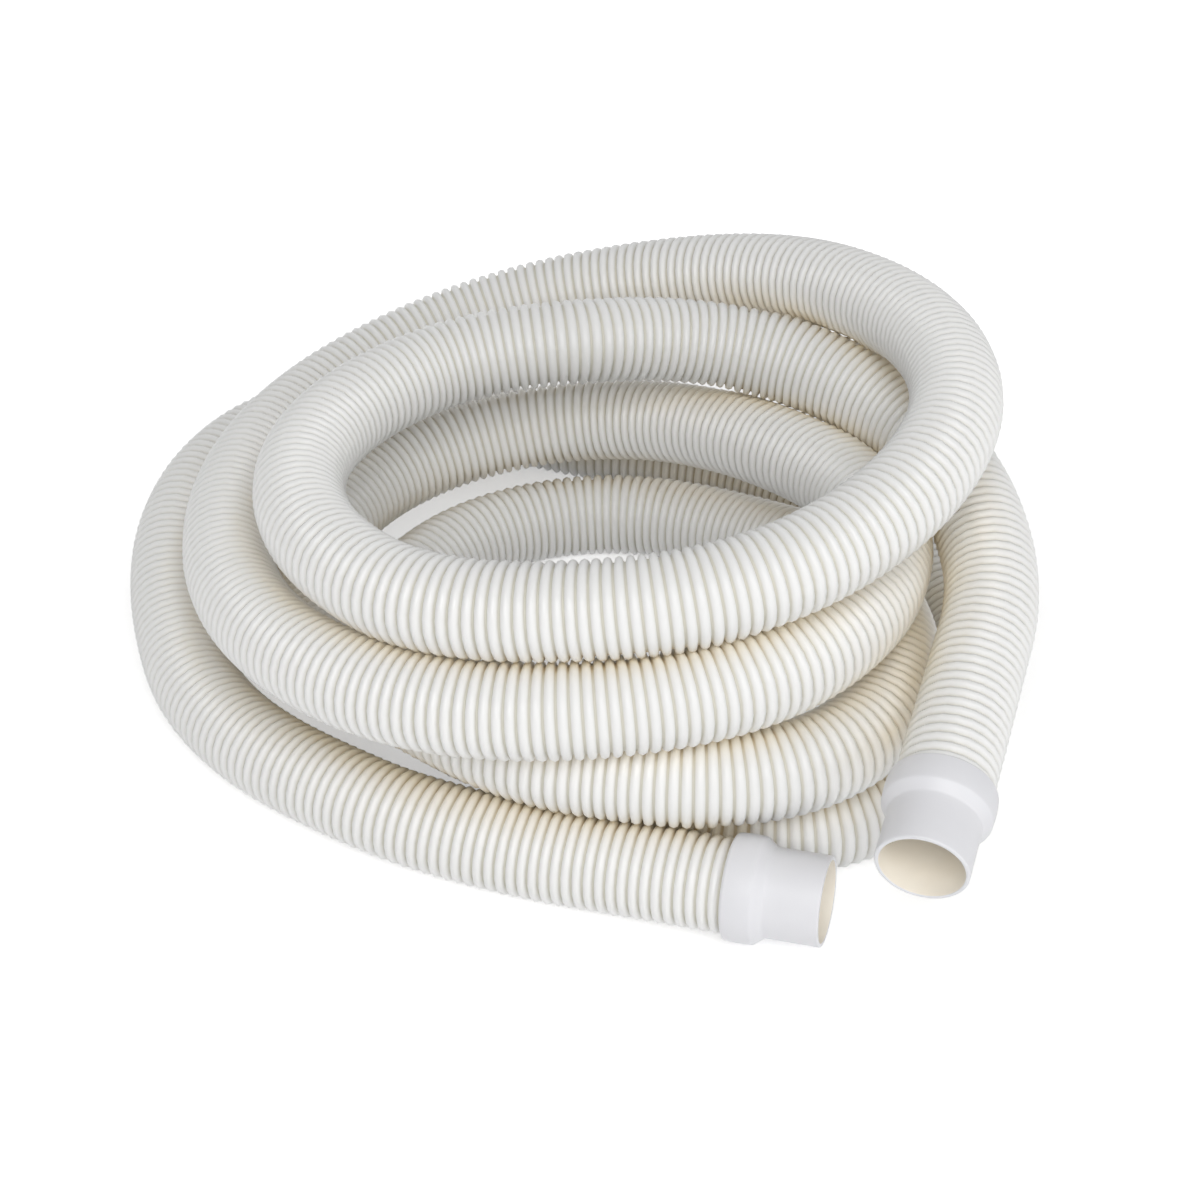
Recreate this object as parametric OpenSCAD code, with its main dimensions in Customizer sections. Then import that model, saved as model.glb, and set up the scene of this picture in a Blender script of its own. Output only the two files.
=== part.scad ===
// Ribbed pool vacuum hose, coiled for storage, with a fixed cuff on one end
// and a cuff that swivels on the other.

/* [Hose] */
// Outside diameter over the ribs
hose_od = 45; // [42:0.5:48]
// Depth of the groove between two ribs
rib_depth = 2; // [2:0.25:2.5]
// Wall left under a groove
hose_wall = 1.5; // [1.3:0.1:2]
// Ribs along the hose
rib_count = 180; // [120:1:185]
// Straight run of hose behind the fixed cuff
fixed_lead = 70; // [60:1:75]
// Straight run of hose behind the swivel cuff
swivel_lead = 93.5; // [70:0.5:95]

/* [Cuffs] */
// Depth of the socket that a hose end sits in
socket_depth = 10; // [10:0.5:14]
// Thickness of the lip that a hose end stops against
stop_lip = 1.2; // [1:0.1:2]
// Height of that lip above the hose's bore
lip_height = 1; // [0.6:0.1:1.2]
// Length of the cone between collar and spigot
cone_length = 5; // [3:0.5:8]
// Length of the spigot
spigot_length = 26; // [22:1:30]
// Bore of the spigot, which takes the cleaner's connector
spigot_bore = 38; // [36:0.5:39.5]
// Wall of the spigot
spigot_wall = 2; // [1.5:0.25:2.5]
// Rounding of the collar's rear edge
collar_round = 1.6; // [0.8:0.2:2.4]
// Rounding of the spigot's mouth
mouth_round = 1; // [0.5:0.1:1.2]
// Swell of the collar between its two edges
collar_swell = 0.3; // [0:0.1:0.6]

/* [Swivel] */
// Wall of the sleeve on the hose's swivel end
sleeve_wall = 1.6; // [1.2:0.1:2]
// Height of the sleeve's flange above the sleeve
flange_height = 1.2; // [0.9:0.1:1.6]
// Thickness of the sleeve's flange
flange_thick = 3; // [2:0.25:4]
// Thickness of the seal ring in front of the flange
seal_thick = 1; // [0.8:0.1:1.5]
// Wall of the swivel cuff round its chamber
chamber_wall = 1.5; // [1.2:0.1:2]
// Wall of the swivel cuff in front of its chamber
shoulder_wall = 1.5; // [1.2:0.1:2.5]
// Gap all round between what turns and what stays
run_gap = 0.3; // [0.2:0.05:0.4]

/* [Hidden] */

// Gap between a glued piece and the hose inside it
glue_gap = 0.15;
// Gap between the fixed cuff's collar and the ground
ground_gap = 0.5;
// How far the seal ring's hole stands back from the bore in front of it
seal_setback = 0.5;
// How far a cut runs past the face that it opens
cut_past = 1;

// Radii of the hose: over the ribs, in a groove and inside
hose_r = hose_od / 2;
groove_r = hose_r - rib_depth;
bore_r = groove_r - hose_wall;
lip_r = bore_r - lip_height;

// Radii of the cuffs and of what is inside the swivel cuff
socket_r = hose_r + glue_gap;
seat_r = groove_r + glue_gap;
sleeve_r = seat_r + sleeve_wall;
flange_r = sleeve_r + flange_height;
seal_hole_r = spigot_bore / 2 + seal_setback;
chamber_r = flange_r + run_gap;
collar_r = chamber_r + chamber_wall;
spigot_r = spigot_bore / 2 + spigot_wall;

// Distances from a cuff's rear edge, along its axis
lip_end = socket_depth + stop_lip;
flange_start = lip_end - flange_thick;
seal_end = lip_end + seal_thick;
chamber_end = seal_end + run_gap;
collar_length = chamber_end + shoulder_wall;
spigot_start = collar_length + cone_length;
cuff_length = spigot_start + spigot_length;

// The coil, for a hose of 45 mm, which grows and shrinks with the hose.
// Each row is one turn from the front, clockwise from above, at eight stations:
// front, front left, left, back left, back, back right, right and front right.
grow = hose_od / 45;
// Reach of the hose's centre line from the middle of the coil
loop_reach = [
    [155, 157.5, 210.5, 267, 200, 189, 199, 174],
    [90.5, 87, 108.5, 116.5, 124.5, 130, 148.5, 172],
    [135.5, 122, 146.5, 162.5, 150.5, 133, 147, 152],
    [146.5, 158.5, 181, 205, 200, 190.5, 177.5, 146.5],
    [127, 135.5, 139.5, 125, 110.5, 159, 192.5, 210]
];
// Height of the hose's centre line above the ground
loop_height = [
    [21, 21, 18, 30.5, 18, 18, 18, 18],
    [18, 18, 18, 18, 18, 26.5, 54, 63.8],
    [63, 61.5, 49.5, 48.5, 65, 87.5, 100.3, 111],
    [107.5, 97, 86, 87.5, 120.5, 160, 174, 161],
    [149, 140, 134.5, 134.5, 141.5, 126, 112.5, 88]
];
// Where the coil would go next, past each end of the table
before_reach = 231;
after_reach = 177;
after_height = 45;
stations = 8;
station_angle = 360 / stations;
last_station = stations * len(loop_reach);
// The coil starts at station 0 and ends here, and the straight runs follow
coil_end = 38.56;

// The hose's last stretch rises just enough to lift the fixed cuff off the ground
lift = (collar_r + ground_gap - grow * loop_height[0][0]) / fixed_lead;
first_step = norm([(loop_reach[0][1] - before_reach) / 2, loop_reach[0][0] * station_angle * PI / 180]);
before_height = loop_height[0][1] + 2 * lift * first_step;

function reach(i) =
    i < 0 ? before_reach : i >= last_station ? after_reach : loop_reach[floor(i / stations)][i % stations];
function height(i) =
    i < 0 ? before_height : i >= last_station ? after_height : loop_height[floor(i / stations)][i % stations];
// A smooth curve from b to c, with a and d as the values before and after
function smooth(a, b, c, d, t) =
    b + (c - a + (2 * a - 5 * b + 4 * c - d + (3 * (b - c) + d - a) * t) * t) * t / 2;
function ease(values, t) = smooth(values[0], values[1], values[2], values[3], t);
function on_coil(k) =
    let (i = floor(k), r = ease([for (n = [-1:2]) reach(i + n)], k - i),
         h = ease([for (n = [-1:2]) height(i + n)], k - i), turn = -90 - station_angle * k)
    grow * [r * cos(turn), r * sin(turn), h];
function unit(v) = v / norm(v);
function flow(k) = unit(on_coil(min(k + nudge, coil_end)) - on_coil(max(k - nudge, 0)));
nudge = 0.01;

// Length along the coil against station, so that ribs can be spaced evenly
coil_parts = 960;
coil_points = [for (n = [0:coil_parts]) on_coil(n * coil_end / coil_parts)];
length_table = [
    for (n = 0, run = 0; n <= coil_parts; n = n + 1,
         run = n <= coil_parts ? run + norm(coil_points[n] - coil_points[n - 1]) : run)
    [run, n * coil_end / coil_parts]
];
coil_length = length_table[coil_parts][0];
fixed_straight = fixed_lead + socket_depth;
swivel_straight = swivel_lead + socket_depth;
hose_length = fixed_straight + coil_length + swivel_straight;

// Point on the hose's centre line, and its direction, at a length from the fixed end
function on_hose(s) =
    s < fixed_straight ? on_coil(0) + (s - fixed_straight) * flow(0)
    : s > fixed_straight + coil_length
        ? on_coil(coil_end) + (s - fixed_straight - coil_length) * flow(coil_end)
        : on_coil(lookup(s - fixed_straight, length_table));
function direction(s) =
    s < fixed_straight ? flow(0)
    : s > fixed_straight + coil_length ? flow(coil_end)
    : flow(lookup(s - fixed_straight, length_table));

// Rings of the hose as [length along it, radius]. The swivel end is plain under its sleeve.
ribbed_length = hose_length - socket_depth;
rib_pitch = ribbed_length / rib_count;
outer_rings = [
    for (n = [0:2 * rib_count]) [n * rib_pitch / 2, n % 2 == 0 ? groove_r : hose_r],
    [hose_length, groove_r]
];
inner_rings = [
    for (n = [0:rib_count]) [n * rib_pitch, bore_r],
    [hose_length, bore_r]
];
sides = 8;
// Below the ground the hose is flat
function ring_points(ring) =
    let (middle = on_hose(ring[0]), ahead = direction(ring[0]),
         side = unit(cross(ahead, [0, 0, 1])), up = cross(side, ahead))
    [for (n = [0:sides - 1])
        let (a = 360 / sides * (n + 0.5), p = middle + ring[1] * (cos(a) * side + sin(a) * up))
        [p.x, p.y, max(p.z, 0)]];
outer_points = [for (ring = outer_rings) each ring_points(ring)];
inner_points = [for (ring = inner_rings) each ring_points(ring)];

// Each cuff's rear edge and axis
fixed_at = on_hose(socket_depth);
fixed_axis = -direction(0);
swivel_at = on_hose(hose_length - socket_depth);
swivel_axis = direction(hose_length);

// The part stands with the middle of its outline at the origin
function rim(at, axis, along, r) =
    [for (n = [0:1]) [for (way = [-1, 1]) at[n] + along * axis[n] + way * r * sqrt(1 - axis[n] * axis[n])]];
rims = [
    for (cuff = [[fixed_at, fixed_axis], [swivel_at, swivel_axis]])
        for (edge = [[collar_round, collar_r - collar_swell], [collar_length / 2, collar_r],
                     [cuff_length - mouth_round, spigot_r]])
            rim(cuff[0], cuff[1], edge[0], edge[1])
];
function middle_of(n) =
    let (all = concat([for (p = outer_points) p[n]], [for (r = rims) each r[n]])) (min(all) + max(all)) / 2;
to_origin = -[middle_of(0), middle_of(1), 0];

// Least gap between the hose and itself, from points four to a rib to the stretches near them,
// past the few points that lie along one bend
gap_count = 4 * rib_count;
gap_points = [for (n = [0:gap_count]) on_hose(n * ribbed_length / gap_count)];
apart = ceil(4 * hose_od * gap_count / ribbed_length);
function gap_to(p, a, b) =
    let (t = max(0, min(1, (p - a) * (b - a) / ((b - a) * (b - a))))) norm(p - a - t * (b - a));
function least_gap() = min([
    for (i = [1:gap_count], j = [i + apart:1:gap_count - 1])
        if (norm(gap_points[i] - gap_points[j]) < 1.2 * hose_od)
            min(gap_to(gap_points[i], gap_points[j], gap_points[j + 1]),
                gap_to(gap_points[j], gap_points[i - 1], gap_points[i]))
]) - hose_od;
// Least gap between a cuff and the stretch of hose away from it
function cuff_gap(at, axis, from, to) = min([
    for (n = [from:to])
        min(gap_to(gap_points[n], at, at + collar_length * axis) - collar_r,
            gap_to(gap_points[n], at, at + cuff_length * axis) - spigot_r)
]) - hose_r;
union() {
    echo(least_gap_of_the_hose_to_itself = least_gap());
    echo(least_gap_of_the_fixed_cuff_to_the_hose = cuff_gap(fixed_at, fixed_axis, apart, gap_count));
    echo(least_gap_of_the_swivel_cuff_to_the_hose = cuff_gap(swivel_at, swivel_axis, 0, gap_count - apart));
}
echo(hose_length = hose_length, cuff_length = cuff_length);
echo(fixed_at = fixed_at + to_origin, fixed_axis = fixed_axis);
echo(swivel_at = swivel_at + to_origin, swivel_axis = swivel_axis);
echo(middle_of_the_coil = to_origin);

module place(at, axis) {
    translate(at + to_origin) rotate([0, acos(axis.z), atan2(axis.y, axis.x)]) children();
}

// Quarter circle of the cuff's outline, from one angle to another
function arc(middle, r, from, to) =
    [for (n = [0:4]) middle + r * [cos(from + (to - from) * n / 4), sin(from + (to - from) * n / 4)]];
// Outside of a cuff as [radius, length], from its rear edge to its mouth
edge_r = collar_r - collar_swell;
swell_length = collar_length - collar_round;
cuff_outside = concat(
    arc([edge_r - collar_round, collar_round], collar_round, -90, 0),
    [for (n = [1:5]) [edge_r + collar_swell * sin(30 * n), collar_round + swell_length * n / 6]],
    [[edge_r, collar_length], [spigot_r, spigot_start]],
    arc([spigot_r - mouth_round, cuff_length - mouth_round], mouth_round, 0, 90)
);

module turned(outline) {
    rotate_extrude($fn = 96) polygon(outline);
}

module hose() {
    outer_count = len(outer_rings);
    inner_start = len(outer_points);
    inner_count = len(inner_rings);
    function around(n) = (n + 1) % sides;
    color([0.93, 0.9, 0.82]) translate(to_origin) polyhedron(
        points = concat(outer_points, inner_points),
        faces = [
            for (k = [0:outer_count - 2], n = [0:sides - 1])
                let (a = k * sides + n, b = k * sides + around(n), c = a + sides, d = b + sides)
                each [[a, b, c], [b, d, c]],
            for (k = [0:inner_count - 2], n = [0:sides - 1])
                let (a = inner_start + k * sides + n, b = inner_start + k * sides + around(n),
                     c = a + sides, d = b + sides)
                each [[a, c, b], [b, c, d]],
            for (n = [0:sides - 1])
                let (a = n, b = around(n), c = inner_start + n, d = inner_start + around(n))
                each [[a, c, b], [b, c, d]],
            for (n = [0:sides - 1])
                let (o = (outer_count - 1) * sides, i = inner_start + (inner_count - 1) * sides,
                     a = o + n, b = o + around(n), c = i + n, d = i + around(n))
                each [[a, b, c], [b, d, c]]
        ]
    );
}

// A cuff less its bore and what is cut behind it, each as [radius, from, to] along its axis
module cuff(cuts) {
    difference() {
        turned(concat([[0, 0]], cuff_outside, [[0, cuff_length]]));
        for (cut = cuts)
            translate([0, 0, cut[1]]) cylinder(h = cut[2] - cut[1], r = cut[0], $fn = 96);
    }
}

module fixed_cuff() {
    color([0.96, 0.96, 0.95]) place(fixed_at, fixed_axis) cuff([
        [socket_r, -cut_past, socket_depth],
        [lip_r, -cut_past, lip_end + cut_past],
        [spigot_bore / 2, lip_end, cuff_length + cut_past]
    ]);
}

module swivel_cuff() {
    color([0.96, 0.96, 0.95]) place(swivel_at, swivel_axis) cuff([
        [chamber_r, -cut_past, chamber_end],
        [spigot_bore / 2, -cut_past, cuff_length + cut_past]
    ]);
}

module swivel_sleeve() {
    color([0.9, 0.9, 0.88]) place(swivel_at, swivel_axis) turned([
        [seat_r, run_gap], [sleeve_r, run_gap], [sleeve_r, flange_start], [flange_r, flange_start],
        [flange_r, lip_end], [lip_r, lip_end], [lip_r, socket_depth], [seat_r, socket_depth]
    ]);
}

module seal_ring() {
    color([0.25, 0.25, 0.26]) place(swivel_at, swivel_axis) turned([
        [seal_hole_r, lip_end], [flange_r, lip_end], [flange_r, seal_end], [seal_hole_r, seal_end]
    ]);
}

module retaining_ring() {
    color([0.9, 0.9, 0.88]) place(swivel_at, swivel_axis) turned([
        [sleeve_r + run_gap, 0], [chamber_r, 0],
        [chamber_r, flange_start - run_gap], [sleeve_r + run_gap, flange_start - run_gap]
    ]);
}

hose();
fixed_cuff();
swivel_cuff();
swivel_sleeve();
seal_ring();
retaining_ring();
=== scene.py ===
"""A coiled, ribbed pool vacuum hose with a fixed cuff on one end and a swivelling cuff on the other."""
import math

import bpy
import numpy as np
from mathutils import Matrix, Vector
from mathutils.bvhtree import BVHTree


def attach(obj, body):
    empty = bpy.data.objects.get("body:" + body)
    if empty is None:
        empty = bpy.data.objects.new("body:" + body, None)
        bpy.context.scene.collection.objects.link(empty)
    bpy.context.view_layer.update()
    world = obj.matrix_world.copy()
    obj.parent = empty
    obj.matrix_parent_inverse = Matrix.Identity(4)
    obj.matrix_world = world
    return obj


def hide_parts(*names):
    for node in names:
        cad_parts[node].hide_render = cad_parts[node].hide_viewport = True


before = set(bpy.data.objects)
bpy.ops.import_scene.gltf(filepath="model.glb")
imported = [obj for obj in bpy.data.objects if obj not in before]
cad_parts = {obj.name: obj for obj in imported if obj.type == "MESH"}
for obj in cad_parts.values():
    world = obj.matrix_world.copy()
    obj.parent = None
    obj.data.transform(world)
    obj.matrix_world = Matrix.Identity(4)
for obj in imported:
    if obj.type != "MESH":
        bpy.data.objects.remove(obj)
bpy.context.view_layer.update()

# ---------------------------------------------------------------- sizes, in metres

HOSE_OD = 0.045
GROOVE_DEPTH = 0.0027
BORE_R = 0.0187
# A little over half, so that the sides of the turned shape average to it
HOSE_R = 1.006 * HOSE_OD / 2
RIBS = 940

COLLAR_R = 0.02525
COLLAR_SWELL = 0.0003
COLLAR_LENGTH = 0.014
CONE_LENGTH = 0.005
SPIGOT_LENGTH = 0.026
SPIGOT_BORE_R = 0.019
SPIGOT_R = 0.021
CUFF_LENGTH = COLLAR_LENGTH + CONE_LENGTH + SPIGOT_LENGTH
COLLAR_ROUND = 0.0018
MOUTH_ROUND = 0.0009
SOCKET_DEPTH = 0.010
SOCKET_R = 0.02265
LIP_END = 0.0112
LIP_R = 0.018
CHAMBER_END = 0.0125
CHAMBER_R = 0.02375
GROUND_GAP = 0.0005

# The coil. Each row is one turn from the front, clockwise from above, at eight stations:
# front, front left, left, back left, back, back right, right and front right.
LOOP_REACH = [
    [0.155, 0.1575, 0.2105, 0.267, 0.200, 0.189, 0.199, 0.174],
    [0.0905, 0.087, 0.1085, 0.1165, 0.1245, 0.130, 0.1485, 0.172],
    [0.1355, 0.122, 0.1465, 0.1625, 0.1505, 0.133, 0.147, 0.152],
    [0.1465, 0.1585, 0.181, 0.205, 0.200, 0.1905, 0.1775, 0.1465],
    [0.127, 0.1355, 0.1395, 0.125, 0.1105, 0.159, 0.1925, 0.210],
]
LOOP_HEIGHT = [
    [0.021, 0.021, 0.018, 0.0305, 0.018, 0.018, 0.018, 0.018],
    [0.018, 0.018, 0.018, 0.018, 0.018, 0.0265, 0.054, 0.0638],
    [0.063, 0.0615, 0.0495, 0.0485, 0.065, 0.0875, 0.1003, 0.111],
    [0.1075, 0.097, 0.086, 0.0875, 0.1205, 0.160, 0.174, 0.161],
    [0.149, 0.140, 0.1345, 0.1345, 0.1415, 0.126, 0.1125, 0.088],
]
BEFORE_REACH = 0.231
AFTER_REACH = 0.177
AFTER_HEIGHT = 0.045
STATIONS = 8
COIL_END = 38.56
FIXED_LEAD = 0.07
SWIVEL_LEAD = 0.0935
COIL_MIDDLE = (0.01416, -0.00802)
# Points that the coil's length is measured over
COIL_PARTS = 6000

# ---------------------------------------------------------------- camera

CAMERA_AT = (0.02096, -0.89302, 0.751)
CAMERA_PITCH_DOWN = 38.2
CAMERA_LENS = 65.85
SENSOR = 36.0


def add_camera():
    """The camera, in front of the hose and above it, looking down at its middle."""
    data = bpy.data.cameras.new("camera")
    data.lens = CAMERA_LENS
    data.sensor_width = SENSOR
    camera = bpy.data.objects.new("camera", data)
    camera.location = CAMERA_AT
    camera.rotation_euler = (math.radians(90 - CAMERA_PITCH_DOWN), 0, 0)
    bpy.context.collection.objects.link(camera)
    bpy.context.scene.camera = camera


# ---------------------------------------------------------------- the hose's line

def smooth(a, b, c, d, t):
    """A smooth curve from b to c, with a and d as the values before and after."""
    return b + (c - a + (2 * a - 5 * b + 4 * c - d + (3 * (b - c) + d - a) * t) * t) * t / 2


class HoseLine:
    """The hose's centre line: a straight run, the coil's turns and a straight run, measured along it."""

    def __init__(self):
        angle = 2 * math.pi / STATIONS
        lift = (COLLAR_R + GROUND_GAP - LOOP_HEIGHT[0][0]) / FIXED_LEAD
        step = math.hypot((LOOP_REACH[0][1] - BEFORE_REACH) / 2, LOOP_REACH[0][0] * angle)
        before_height = LOOP_HEIGHT[0][1] + 2 * lift * step
        self.reach = np.array([BEFORE_REACH, *sum(LOOP_REACH, []), AFTER_REACH])
        self.height = np.array([before_height, *sum(LOOP_HEIGHT, []), AFTER_HEIGHT])
        self.parts = np.linspace(0, COIL_END, COIL_PARTS)
        points = self.on_coil(self.parts)
        steps = np.linalg.norm(np.diff(points, axis=0), axis=1)
        self.run = np.concatenate([[0], np.cumsum(steps)])
        self.first_way = self.way(points[1] - points[0])
        self.last_way = self.way(points[-1] - points[-2])
        self.coil_from = FIXED_LEAD + SOCKET_DEPTH
        self.coil_to = self.coil_from + self.run[-1]
        self.length = self.coil_to + SWIVEL_LEAD + SOCKET_DEPTH

    @staticmethod
    def way(v):
        """A direction of length 1."""
        return v / np.linalg.norm(v, axis=-1, keepdims=True)

    def on_coil(self, k):
        """Points at stations k, counted from the coil's first, which needn't be whole numbers."""
        i = np.minimum(k.astype(int), STATIONS * len(LOOP_REACH) - 2)
        t = k - i
        reach, height = (
            smooth(v[i], v[i + 1], v[i + 2], v[i + 3], t) for v in (self.reach, self.height)
        )
        turn = -math.pi / 2 - 2 * math.pi / STATIONS * k
        return np.stack([
            COIL_MIDDLE[0] + reach * np.cos(turn),
            COIL_MIDDLE[1] + reach * np.sin(turn),
            height,
        ], axis=-1)

    def at(self, s):
        """Points at lengths s from the end in the fixed cuff."""
        s = np.asarray(s, float)
        k = np.interp(s - self.coil_from, self.run, self.parts)
        before = np.minimum(s - self.coil_from, 0)[:, None]
        after = np.maximum(s - self.coil_to, 0)[:, None]
        return self.on_coil(k) + before * self.first_way + after * self.last_way

    def ahead(self, s, reach=0.0004):
        """The line's directions at lengths s."""
        s = np.asarray(s, float)
        return self.way(self.at(s + reach) - self.at(s - reach))


# ---------------------------------------------------------------- meshes

def mesh_object(name, verts, faces, materials, body, face_materials=None):
    """A smooth-shaded piece on a body and a material for each face."""
    mesh = bpy.data.meshes.new(name)
    mesh.from_pydata(verts, [], faces)
    for material in materials:
        mesh.materials.append(material)
    if face_materials is not None:
        mesh.polygons.foreach_set("material_index", face_materials)
    mesh.polygons.foreach_set("use_smooth", [True] * len(mesh.polygons))
    mesh.update()
    piece = bpy.data.objects.new(name, mesh)
    bpy.context.collection.objects.link(piece)
    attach(piece, body)
    return piece


def tube_faces(rings, sides, start=0, inward=False):
    """Quads between rings of equal sides, as a wall that faces out, or in."""
    k = np.arange(rings - 1)[:, None] * sides + start
    n = np.arange(sides)[None, :]
    m = (n + 1) % sides
    a, b, c, d = k + n, k + m, k + sides + m, k + sides + n
    order = (a, d, c, b) if inward else (a, b, c, d)
    return np.stack(order, axis=-1).reshape(-1, 4)


# ---------------------------------------------------------------- nodes and shader maths

class Socket:
    """A value's output socket, so that shader maths reads as an expression."""

    def __init__(self, nodes, output):
        self.nodes, self.output = nodes, output

    def _math(self, operation, *values):
        return self.nodes.add("ShaderNodeMath", {"operation": operation}, values)

    def __add__(self, other):
        return self._math("ADD", self, other)

    def __radd__(self, other):
        return self._math("ADD", other, self)

    def __mul__(self, other):
        return self._math("MULTIPLY", self, other)

    def __rmul__(self, other):
        return self._math("MULTIPLY", other, self)


class Nodes:
    """A node tree."""

    def __init__(self, tree):
        self.tree = tree

    def add(self, kind, settings=None, values=(), output=0):
        """Adds a node: its settings first, then its sockets' values or links, by place or by name."""
        node = self.tree.nodes.new(kind)
        for key, value in (settings or {}).items():
            if key == "stops":
                self._set_stops(node.color_ramp, value)
            else:
                setattr(node, key, value)
        pairs = values.items() if isinstance(values, dict) else enumerate(values)
        for key, value in pairs:
            self.join(node.inputs[key], value)
        return Socket(self, node.outputs[output])

    def join(self, socket, value):
        if isinstance(value, Socket):
            self.tree.links.new(value.output, socket)
        else:
            socket.default_value = value

    @staticmethod
    def _set_stops(ramp, stops):
        while len(ramp.elements) > len(stops):
            ramp.elements.remove(ramp.elements[-1])
        while len(ramp.elements) < len(stops):
            ramp.elements.new(1)
        for element, (place, level) in zip(ramp.elements, stops):
            element.position = place
            element.color = (level, level, level, 1)

    def mix(self, share, first, second):
        """A colour between two."""
        return self.add(
            "ShaderNodeMix", {"data_type": "RGBA"},
            {0: share, 6: first, 7: second}, output=2,
        )

    def noise(self, scale, detail):
        """Noise of so many waves to the metre."""
        place = self.add("ShaderNodeTexCoord", output="Object")
        return self.add(
            "ShaderNodeTexNoise", None,
            {"Vector": place, "Scale": scale, "Detail": detail},
        )

    def bump(self, height, strength, distance):
        """A surface that a height makes slightly uneven."""
        return self.add(
            "ShaderNodeBump", None,
            {"Strength": strength, "Distance": distance, "Height": height},
        )

    def seen(self):
        """1 where the camera looks, also in gloss or through glass, and 0 for what lights the hose."""
        camera, glossy, transmission = (
            self.add("ShaderNodeLightPath", output=way)
            for way in ("Is Camera Ray", "Is Glossy Ray", "Is Transmission Ray")
        )
        return camera + glossy + transmission


class Material(Nodes):
    """One material and its nodes."""

    def __init__(self, name):
        self.material = bpy.data.materials.new(name)
        self.material.use_nodes = True
        super().__init__(self.material.node_tree)
        self.shader = next(n for n in self.tree.nodes if n.type == "BSDF_PRINCIPLED")

    def set(self, **sockets):
        for key, value in sockets.items():
            self.join(self.shader.inputs[key.replace("_", " ")], value)
        return self.material


def colour(r, g, b):
    """A screen colour, from 0 to 255 each, as the shader wants it."""
    def linear(v):
        v = v / 255
        return v / 12.92 if v <= 0.04045 else ((v + 0.055) / 1.055) ** 2.4
    return (linear(r), linear(g), linear(b), 1)


# ---------------------------------------------------------------- finishes

# How much hard plastic bends light
PLASTIC_IOR = 1.47


def hose_plastic():
    """Off-white, slightly waxy plastic, with painted shade in the grooves and a darker, warmer painted
    shade where turns lie together.
    """
    m = Material("hose_cream_plastic")
    groove = m.add("ShaderNodeAttribute", {"attribute_name": "groove"}, output="Fac")
    turn_shade = m.add("ShaderNodeAttribute", {"attribute_name": "crowding"}, output="Fac")
    patches = m.noise(scale=14, detail=3)
    rib = m.mix(patches, colour(242, 242, 241), colour(247, 247, 246))
    # The darker beige in the grooves is painted shade
    groove_painted_shade = m.mix(patches, colour(209, 206, 194), colour(217, 214, 203))
    # Squared, so that only a groove's floor and the closest places take the painted shade in full
    low = groove * groove
    open_side = m.mix(low, rib, groove_painted_shade)
    # A darker, warmer painted shade where other turns close in on the hose
    turns_painted_shade = m.mix(low, colour(243, 230, 200), colour(200, 175, 130))
    base = m.mix(turn_shade * turn_shade, open_side, turns_painted_shade)
    rough = 0.3 + 0.15 * low + 0.08 * patches
    grain = m.bump(m.noise(scale=900, detail=3), strength=0.12, distance=0.0002)
    return m.set(Base_Color=base, Roughness=rough, Normal=grain, IOR=PLASTIC_IOR)


def cuff_plastic():
    """Cooler, semi-matt white moulded plastic."""
    m = Material("cuff_white_plastic")
    patches = m.noise(scale=40, detail=3)
    base = m.mix(patches, colour(230, 230, 234), colour(236, 236, 239))
    grain = m.bump(m.noise(scale=1600, detail=2), strength=0.1, distance=0.0001)
    return m.set(Base_Color=base, Roughness=0.38 + 0.1 * patches, Normal=grain, IOR=PLASTIC_IOR)


def bore_painted_bounce():
    """The cuff's inside, painted warm and bright as the light bounced in it from the off-white hose."""
    m = Material("bore_painted_bounce_light")
    patches = m.noise(scale=60, detail=3)
    base = m.mix(patches, colour(252, 244, 230), colour(254, 249, 238))
    return m.set(Base_Color=base, Roughness=0.45 + 0.1 * patches, IOR=PLASTIC_IOR)


def seal_rubber():
    """Matt, dark grey rubber."""
    m = Material("seal_rubber")
    patches = m.noise(scale=200, detail=3)
    base = m.mix(patches, colour(58, 58, 60), colour(72, 72, 74))
    return m.set(Base_Color=base, Roughness=0.6 + 0.15 * patches)


def inner_plastic():
    """Plain white moulded plastic."""
    m = Material("inner_white_plastic")
    patches = m.noise(scale=80, detail=3)
    base = m.mix(patches, colour(224, 223, 219), colour(233, 232, 228))
    return m.set(Base_Color=base, Roughness=0.42 + 0.12 * patches)


# ---------------------------------------------------------------- the hose

# One rib as [share of the pitch, share of the groove's depth]
RIB_PROFILE = [(0.0, 1.0), (0.15, 1.0), (0.27, 0.27), (0.575, 0.0), (0.88, 0.27)]
HOSE_SIDES = 20
# Ribs to each ring of the bore, and the bore's least height
BORE_RIBS = 4
BORE_LIFT = 0.0006
# A turn's own stretch, which isn't its neighbour, and the stretch in and by each cuff
OWN_LENGTH = 0.25
CUFF_CLEAR = 0.03
# How close the points lie that room is measured to, how many rings are measured at once,
# and the room where no other turn is near
NEIGHBOUR_STEP = 0.0025
RINGS_AT_ONCE = 60
NO_NEIGHBOUR = 1
# How far a turn bulges at most, and the room at which it stops bulging
BULGE_MOST = 0.0014
BULGE_REACH = 0.007
# How a turn's view of the others is taken, for its painted shade: once in so many ribs, along this many
# lines, this far
LOOK_RIBS = 2
LOOKS = 64
LOOK_REACH = 0.08
# A line that leaves the surface flatter than this share isn't followed
GRAZING = 0.1
# The plain tube, inside the ribbed one, that the lines meet
PLAIN_STEP = 0.012
PLAIN_SIDES = 12
PLAIN_R = 0.96 * HOSE_R


def rings_on(line, s, radius, sides):
    """Points of rings square to the line. The radius is one for all or one for each point."""
    ahead = line.ahead(s)
    side = line.way(np.cross(ahead, [0, 0, 1]))
    up = np.cross(side, ahead)
    angle = 2 * np.pi * np.arange(sides) / sides
    spread = (
        np.cos(angle)[None, :, None] * side[:, None]
        + np.sin(angle)[None, :, None] * up[:, None]
    )
    return line.at(s)[:, None] + np.atleast_2d(radius)[..., None] * spread


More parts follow.
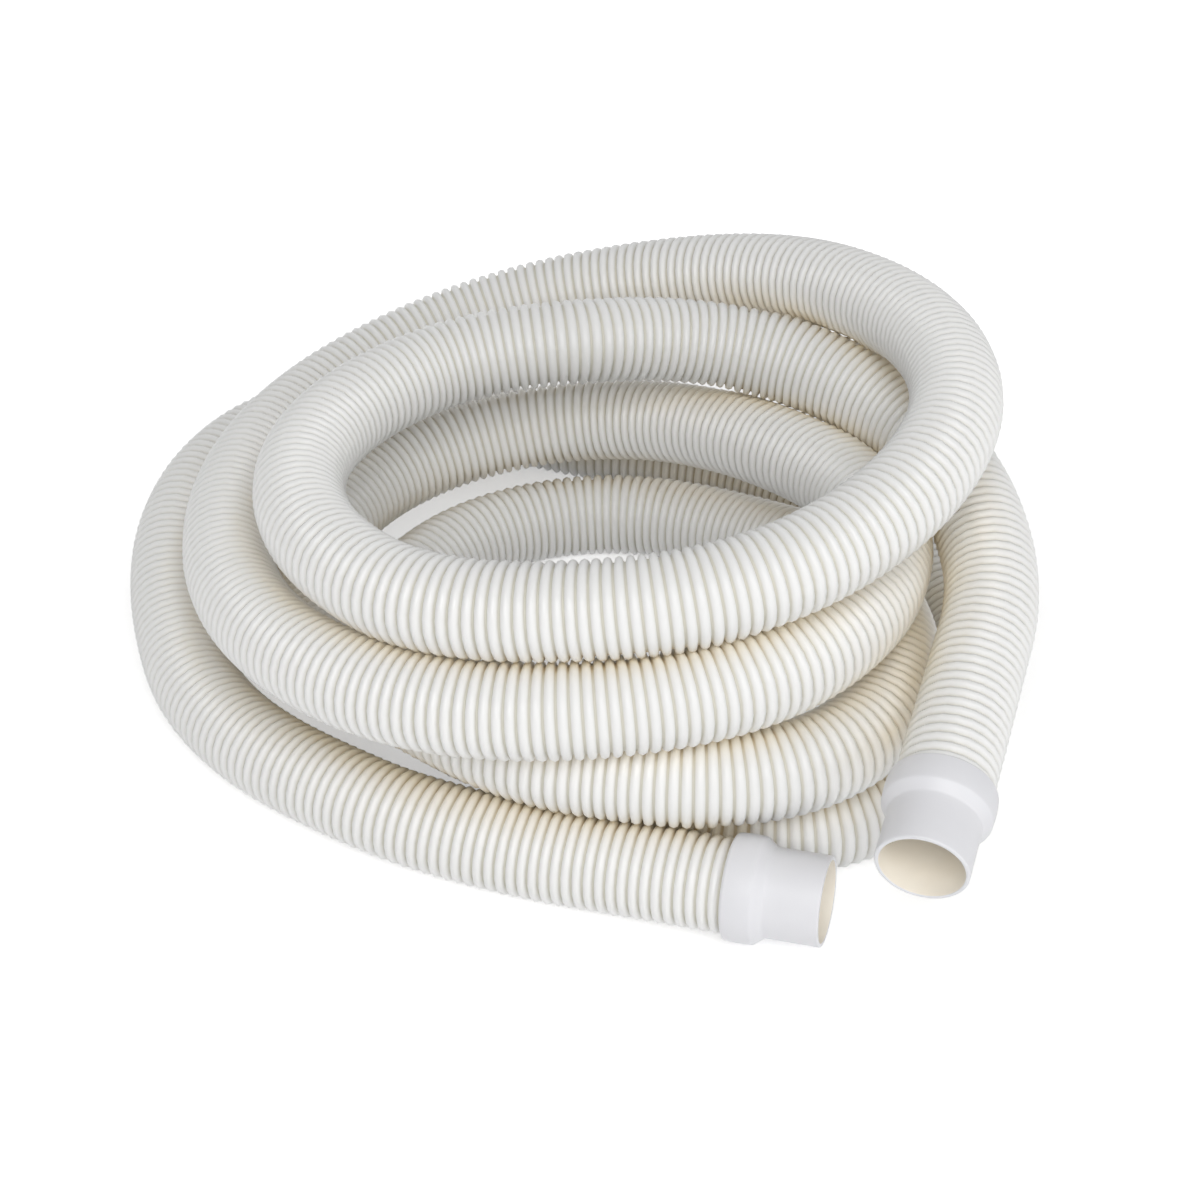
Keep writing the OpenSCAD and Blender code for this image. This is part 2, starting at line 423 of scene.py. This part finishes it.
def room_beside(line, s):
    """How far the hose's outside is from the nearest other turn, all round each ring at s."""
    other_s = np.arange(CUFF_CLEAR, line.length - CUFF_CLEAR, NEIGHBOUR_STEP)
    other = line.at(other_s).astype(np.float32)
    rings = rings_on(line, s, HOSE_R, HOSE_SIDES).astype(np.float32)
    room = []
    for k in range(0, len(s), RINGS_AT_ONCE):
        some = slice(k, k + RINGS_AT_ONCE)
        gap = np.linalg.norm(rings[some, :, None] - other, axis=-1) - HOSE_R
        own = np.abs(s[some, None] - other_s) < OWN_LENGTH
        room.append(np.where(own[:, None], NO_NEIGHBOUR, gap).min(axis=-1))
    return np.concatenate(room)


def bulge(room):
    """How far a turn gives way to touch its neighbour: half of a narrow gap, less where it widens."""
    return np.interp(room, [0, 2 * BULGE_MOST, BULGE_REACH], [0, BULGE_MOST, 0])


def look_ways():
    """Directions spread evenly all round, along a spiral from top to bottom."""
    golden_angle = math.pi * (3 - math.sqrt(5))
    n = np.arange(LOOKS) + 0.5
    turn = n * golden_angle
    height = 1 - 2 * n / LOOKS
    flat = np.sqrt(1 - height ** 2)
    return np.stack([flat * np.cos(turn), flat * np.sin(turn), height], axis=-1)


def crowding(line, s):
    """The share of each point's near view that other turns take up, all round each ring at s, which sets
    how much painted shade the point takes.
    """
    plain_s = np.arange(0, line.length, PLAIN_STEP)
    plain = rings_on(line, plain_s, PLAIN_R, PLAIN_SIDES)
    faces = tube_faces(len(plain_s), PLAIN_SIDES)
    tree = BVHTree.FromPolygons(plain.reshape(-1, 3).tolist(), faces.tolist())
    looks = look_ways()
    ways = [Vector(look) for look in looks]
    rings = rings_on(line, s, HOSE_R, HOSE_SIDES)
    out = line.way(rings - line.at(s)[:, None])
    facing = np.clip(out @ looks.T, 0, None)
    taken = np.zeros(rings.shape[:2])
    for place in np.ndindex(taken.shape):
        point = Vector(rings[place])
        for k in np.nonzero(facing[place] > GRAZING)[0]:
            if tree.ray_cast(point, ways[k], LOOK_REACH)[0] is not None:
                taken[place] += facing[place][k]
    return taken / facing.sum(axis=-1)


def on_every_ring(values, ribs=1):
    """Spreads rows, each for so many ribs, over those ribs' rings and the last two rings."""
    rows = np.repeat(values, ribs * len(RIB_PROFILE), axis=0)
    return np.concatenate([rows, rows[-2:]])


def ribbed_outside(line):
    """The hose's ribbed outside, as rings of points, and each point's groove and share of painted shade
    from nearby turns.
    """
    ribbed_length = line.length - SOCKET_DEPTH
    pitch = ribbed_length / RIBS
    place, depth = np.array(RIB_PROFILE).T
    ribs = np.arange(RIBS)
    s = ribs[:, None] * pitch + place * pitch
    s = np.append(s.ravel(), [ribbed_length, line.length])
    groove = np.append(np.tile(depth, RIBS), [1.0, 1.0])
    rib_s = (ribs + 0.5) * pitch
    room = on_every_ring(room_beside(line, rib_s))
    free = (s > CUFF_CLEAR) & (s < line.length - CUFF_CLEAR)
    radius = (HOSE_R - GROOVE_DEPTH * groove)[:, None] + free[:, None] * bulge(room)
    rings = rings_on(line, s, radius, HOSE_SIDES)
    # How much painted shade each ring takes from nearby turns
    turn_shade = on_every_ring(crowding(line, rib_s[::LOOK_RIBS]), LOOK_RIBS)
    return rings, {"groove": np.repeat(groove, HOSE_SIDES), "crowding": turn_shade.ravel()}


def build_hose(line):
    """The hose as one closed tube wall: ribbed outside, plain bore and an edge at each end."""
    outer, shades = ribbed_outside(line)
    outer[..., 2] = np.maximum(outer[..., 2], 0)
    bore_s = np.linspace(0, line.length, RIBS // BORE_RIBS + 1)
    bore = rings_on(line, bore_s, BORE_R, HOSE_SIDES)
    bore[..., 2] = np.maximum(bore[..., 2], BORE_LIFT)

    start = len(outer) * HOSE_SIDES
    n = np.arange(HOSE_SIDES)
    m = (n + 1) % HOSE_SIDES
    last_outer = start - HOSE_SIDES
    last_bore = start + (len(bore_s) - 1) * HOSE_SIDES
    faces = np.concatenate([
        tube_faces(len(outer), HOSE_SIDES),
        tube_faces(len(bore_s), HOSE_SIDES, start, inward=True),
        np.stack([n, start + n, start + m, m], axis=-1),
        np.stack([last_outer + n, last_outer + m, last_bore + m, last_bore + n], axis=-1),
    ])
    verts = np.concatenate([outer.reshape(-1, 3), bore.reshape(-1, 3)])
    piece = mesh_object(
        "ribbed_hose", verts.tolist(), faces.tolist(), [hose_plastic()], "hose",
    )
    for name, values in shades.items():
        shade = np.zeros(len(verts), np.float32)
        shade[:start] = values
        piece.data.attributes.new(name, "FLOAT", "POINT").data.foreach_set("value", shade)
    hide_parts("hose")
    return piece


# ---------------------------------------------------------------- the cuffs

CUFF_SIDES = 128
# Edges sharper than this angle aren't shaded as round
SHARP_ANGLE = 50
# How far the cone's two edges are rounded, and where each edge's middle point lies in that
EDGE_ROUND = 0.0008
EDGE_SHARE_OUT = 0.25
EDGE_SHARE_ALONG = 0.1
# Steps of the arcs at the rear edge, the swell and both sides of the mouth
REAR_STEPS = 8
SWELL_STEPS = 7
MOUTH_STEPS = 6
MOUTH_INNER_STEPS = 4
# Rings on the way along the spigot, as shares of its length
SPIGOT_RINGS = (0.3, 0.6)
# Rings of the mouth's inner side that stay white, before the bore's painted warm bounce light
WHITE_MOUTH_RINGS = 3

# What each cuff's bore opens into, as [radius, length from its rear edge]
FIXED_INSIDE = [
    (SPIGOT_BORE_R, LIP_END),
    (LIP_R, LIP_END),
    (LIP_R, SOCKET_DEPTH),
    (SOCKET_R, SOCKET_DEPTH),
    (SOCKET_R, 0.0),
]
SWIVEL_INSIDE = [(SPIGOT_BORE_R, CHAMBER_END), (CHAMBER_R, CHAMBER_END), (CHAMBER_R, 0.0)]


def arc(middle, r, start, end, steps):
    """Points [radius, length] of an arc of a cuff's outline, in degrees."""
    return [
        (middle[0] + r * math.cos(math.radians(a)), middle[1] + r * math.sin(math.radians(a)))
        for a in np.linspace(start, end, steps + 1)
    ]


def collar_outline(edge_r):
    """A collar's outside, from its rear edge to the cone."""
    swell_end = COLLAR_LENGTH - EDGE_ROUND
    outline = arc((edge_r - COLLAR_ROUND, COLLAR_ROUND), COLLAR_ROUND, -90, 0, REAR_STEPS)
    for t in np.linspace(0, 1, SWELL_STEPS + 1)[1:-1]:
        swell = COLLAR_SWELL * math.sin(math.pi * t)
        outline.append((edge_r + swell, COLLAR_ROUND + (swell_end - COLLAR_ROUND) * t))
    return outline


def cone_outline(edge_r):
    """The cone's outside with its two soft edges."""
    cone_end = COLLAR_LENGTH + CONE_LENGTH
    edge = EDGE_ROUND * Vector((SPIGOT_R - edge_r, CONE_LENGTH)).normalized()
    out = EDGE_SHARE_OUT * edge.x
    along = EDGE_SHARE_ALONG * edge.y
    return [
        (edge_r, COLLAR_LENGTH - EDGE_ROUND),
        (edge_r + out, COLLAR_LENGTH + along),
        (edge_r + edge.x, COLLAR_LENGTH + edge.y),
        (SPIGOT_R - edge.x, cone_end - edge.y),
        (SPIGOT_R - out, cone_end - along),
        (SPIGOT_R, cone_end + EDGE_ROUND),
    ]


def spigot_outline():
    """The spigot's outside with the mouth's outer rounding."""
    spigot_start = COLLAR_LENGTH + CONE_LENGTH
    straight = SPIGOT_LENGTH - MOUTH_ROUND
    outline = [(SPIGOT_R, spigot_start + straight * t) for t in SPIGOT_RINGS]
    mouth = (SPIGOT_R - MOUTH_ROUND, CUFF_LENGTH - MOUTH_ROUND)
    return outline + arc(mouth, MOUTH_ROUND, 0, 90, MOUTH_STEPS)


def cuff_outline(behind_bore):
    """A cuff's closed outline as [radius, length from its rear edge], and where its inside starts."""
    edge_r = COLLAR_R - COLLAR_SWELL
    outside = collar_outline(edge_r) + cone_outline(edge_r) + spigot_outline()
    inner_round = MOUTH_ROUND / 2
    mouth = (SPIGOT_BORE_R + inner_round, CUFF_LENGTH - inner_round)
    inside = arc(mouth, inner_round, 90, 180, MOUTH_INNER_STEPS)
    inside.append((SPIGOT_BORE_R, CUFF_LENGTH - SPIGOT_LENGTH / 2))
    return outside + inside + behind_bore, len(outside)


def build_cuff(name, rear, along, behind_bore, node, body, white, bore_bounce):
    """A cuff with its rear edge at one point and its mouth along a direction from there."""
    outline, outside_count = cuff_outline(behind_bore)
    rear = Vector(rear)
    along = Vector(along)
    side = along.cross(Vector((0, 0, 1))).normalized()
    up = side.cross(along)
    angles = [2 * math.pi * n / CUFF_SIDES for n in range(CUFF_SIDES)]
    verts = [
        rear + along * z + (side * math.cos(a) + up * math.sin(a)) * r
        for r, z in outline for a in angles
    ]
    faces, slots = [], []
    for k in range(len(outline)):
        ring = k * CUFF_SIDES
        after = (k + 1) % len(outline) * CUFF_SIDES
        in_bore = outside_count + WHITE_MOUTH_RINGS <= k < len(outline) - 1
        for n in range(CUFF_SIDES):
            m = (n + 1) % CUFF_SIDES
            faces.append((ring + n, ring + m, after + m, after + n))
            slots.append(1 if in_bore else 0)
    piece = mesh_object(name, verts, faces, [white, bore_bounce], body, slots)
    piece.data.set_sharp_from_angle(angle=math.radians(SHARP_ANGLE))
    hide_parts(node)
    return piece


# ---------------------------------------------------------------- floor and light

# Half the floor's width, and how far it lies under the hose
FLOOR_REACH = 6.0
FLOOR_DROP = 0.0003
# What the floor adds to its own light where it is seen, as [length from the coil's middle, level]
# The glow is weaker in and near the coil, a painted shade that darkens the floor there
FLOOR_GLOW = [(0, 0.12), (0.045, 0.22), (0.09, 0.4), (0.26, 0.38), (0.38, 0.62), (0.5, 0.85)]
GLOW_SPAN = 0.6

# The world's strength as light and as it is seen
WORLD_LIGHT = 0.33
WORLD_SEEN = 1.0

# Each lamp's place, width and power in watts
LAMPS = {
    "key": ((0, -1.485, 1.535), 1.3, 19.5),
    "fill": ((1.458, -1.223, 0.937), 1.2, 6),
    "back": ((-0.7, 1.6, 1.2), 1.2, 3.5),
}
LAMP_AIM = Vector((0, 0, 0.05))


def floor_paper():
    """White paper, brighter to the eye than to the hose."""
    m = Material("floor_white")
    place = m.add("ShaderNodeTexCoord", output="Object")
    away = m.add(
        "ShaderNodeVectorMath", {"operation": "DISTANCE"},
        (place, (*COIL_MIDDLE, 0)), output="Value",
    )
    stops = [(at / GLOW_SPAN, level) for at, level in FLOOR_GLOW]
    level = m.add("ShaderNodeValToRGB", {"stops": stops}, (away * (1 / GLOW_SPAN),))
    glow = m.mix(m.seen(), (0, 0, 0, 1), level)
    return m.set(
        Base_Color=colour(250, 250, 250), Roughness=0.9, Specular_IOR_Level=0.1,
        Emission_Color=glow, Emission_Strength=1.0,
    )


def add_floor():
    """A wide floor just under the hose."""
    corners = ((-1, -1), (1, -1), (1, 1), (-1, 1))
    verts = [(FLOOR_REACH * x, FLOOR_REACH * y, -FLOOR_DROP) for x, y in corners]
    mesh = bpy.data.meshes.new("floor")
    mesh.from_pydata(verts, [], [(0, 1, 2, 3)])
    mesh.materials.append(floor_paper())
    floor = bpy.data.objects.new("floor", mesh)
    bpy.context.collection.objects.link(floor)


def add_world():
    """Even light from all round, and a white background where it is seen."""
    world = bpy.data.worlds.new("studio")
    bpy.context.scene.world = world
    world.use_nodes = True
    nodes = Nodes(world.node_tree)
    out = next(n for n in nodes.tree.nodes if n.type == "OUTPUT_WORLD")
    light, sight = (
        nodes.add("ShaderNodeBackground", None, {"Color": (1, 1, 1, 1), "Strength": strength})
        for strength in (WORLD_LIGHT, WORLD_SEEN)
    )
    both = nodes.add("ShaderNodeMixShader", None, (nodes.seen(), light, sight))
    nodes.join(out.inputs["Surface"], both)


def add_lamps():
    """Round, soft lamps, all aimed at the coil's middle."""
    for name, (at, width, power) in LAMPS.items():
        data = bpy.data.lights.new(name, "AREA")
        data.shape = "DISK"
        data.size = width
        data.energy = power
        lamp = bpy.data.objects.new(name, data)
        lamp.location = at
        lamp.rotation_euler = (LAMP_AIM - Vector(at)).to_track_quat("-Z", "Y").to_euler()
        bpy.context.collection.objects.link(lamp)


# ---------------------------------------------------------------- assembly

# Points taken along the hose's line at the end; the list isn't kept or used
PATH_POINTS = 1400

add_camera()
line = HoseLine()
hose = build_hose(line)

fixed_at = line.at([SOCKET_DEPTH])[0]
swivel_at = line.at([line.length - SOCKET_DEPTH])[0]
# The cuffs' white plastic, and the painted warm bounce light inside their bores
white, bore_bounce = cuff_plastic(), bore_painted_bounce()
build_cuff(
    "fixed_end_cuff", fixed_at, -line.first_way, FIXED_INSIDE, "fixed_cuff", "hose", white, bore_bounce,
)
swivel_cuff = build_cuff(
    "swivel_end_cuff", swivel_at, line.last_way, SWIVEL_INSIDE, "swivel_cuff", "swivel", white, bore_bounce,
)

CARRIED = {"swivel_sleeve": inner_plastic, "seal_ring": seal_rubber, "retaining_ring": inner_plastic}
for node, finish in CARRIED.items():
    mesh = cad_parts[node].data
    mesh.materials.clear()
    mesh.materials.append(finish())

line.at(np.linspace(0, line.length, PATH_POINTS)).tolist()

add_floor()
add_world()
add_lamps()

bpy.context.scene.view_settings.view_transform = "Standard"
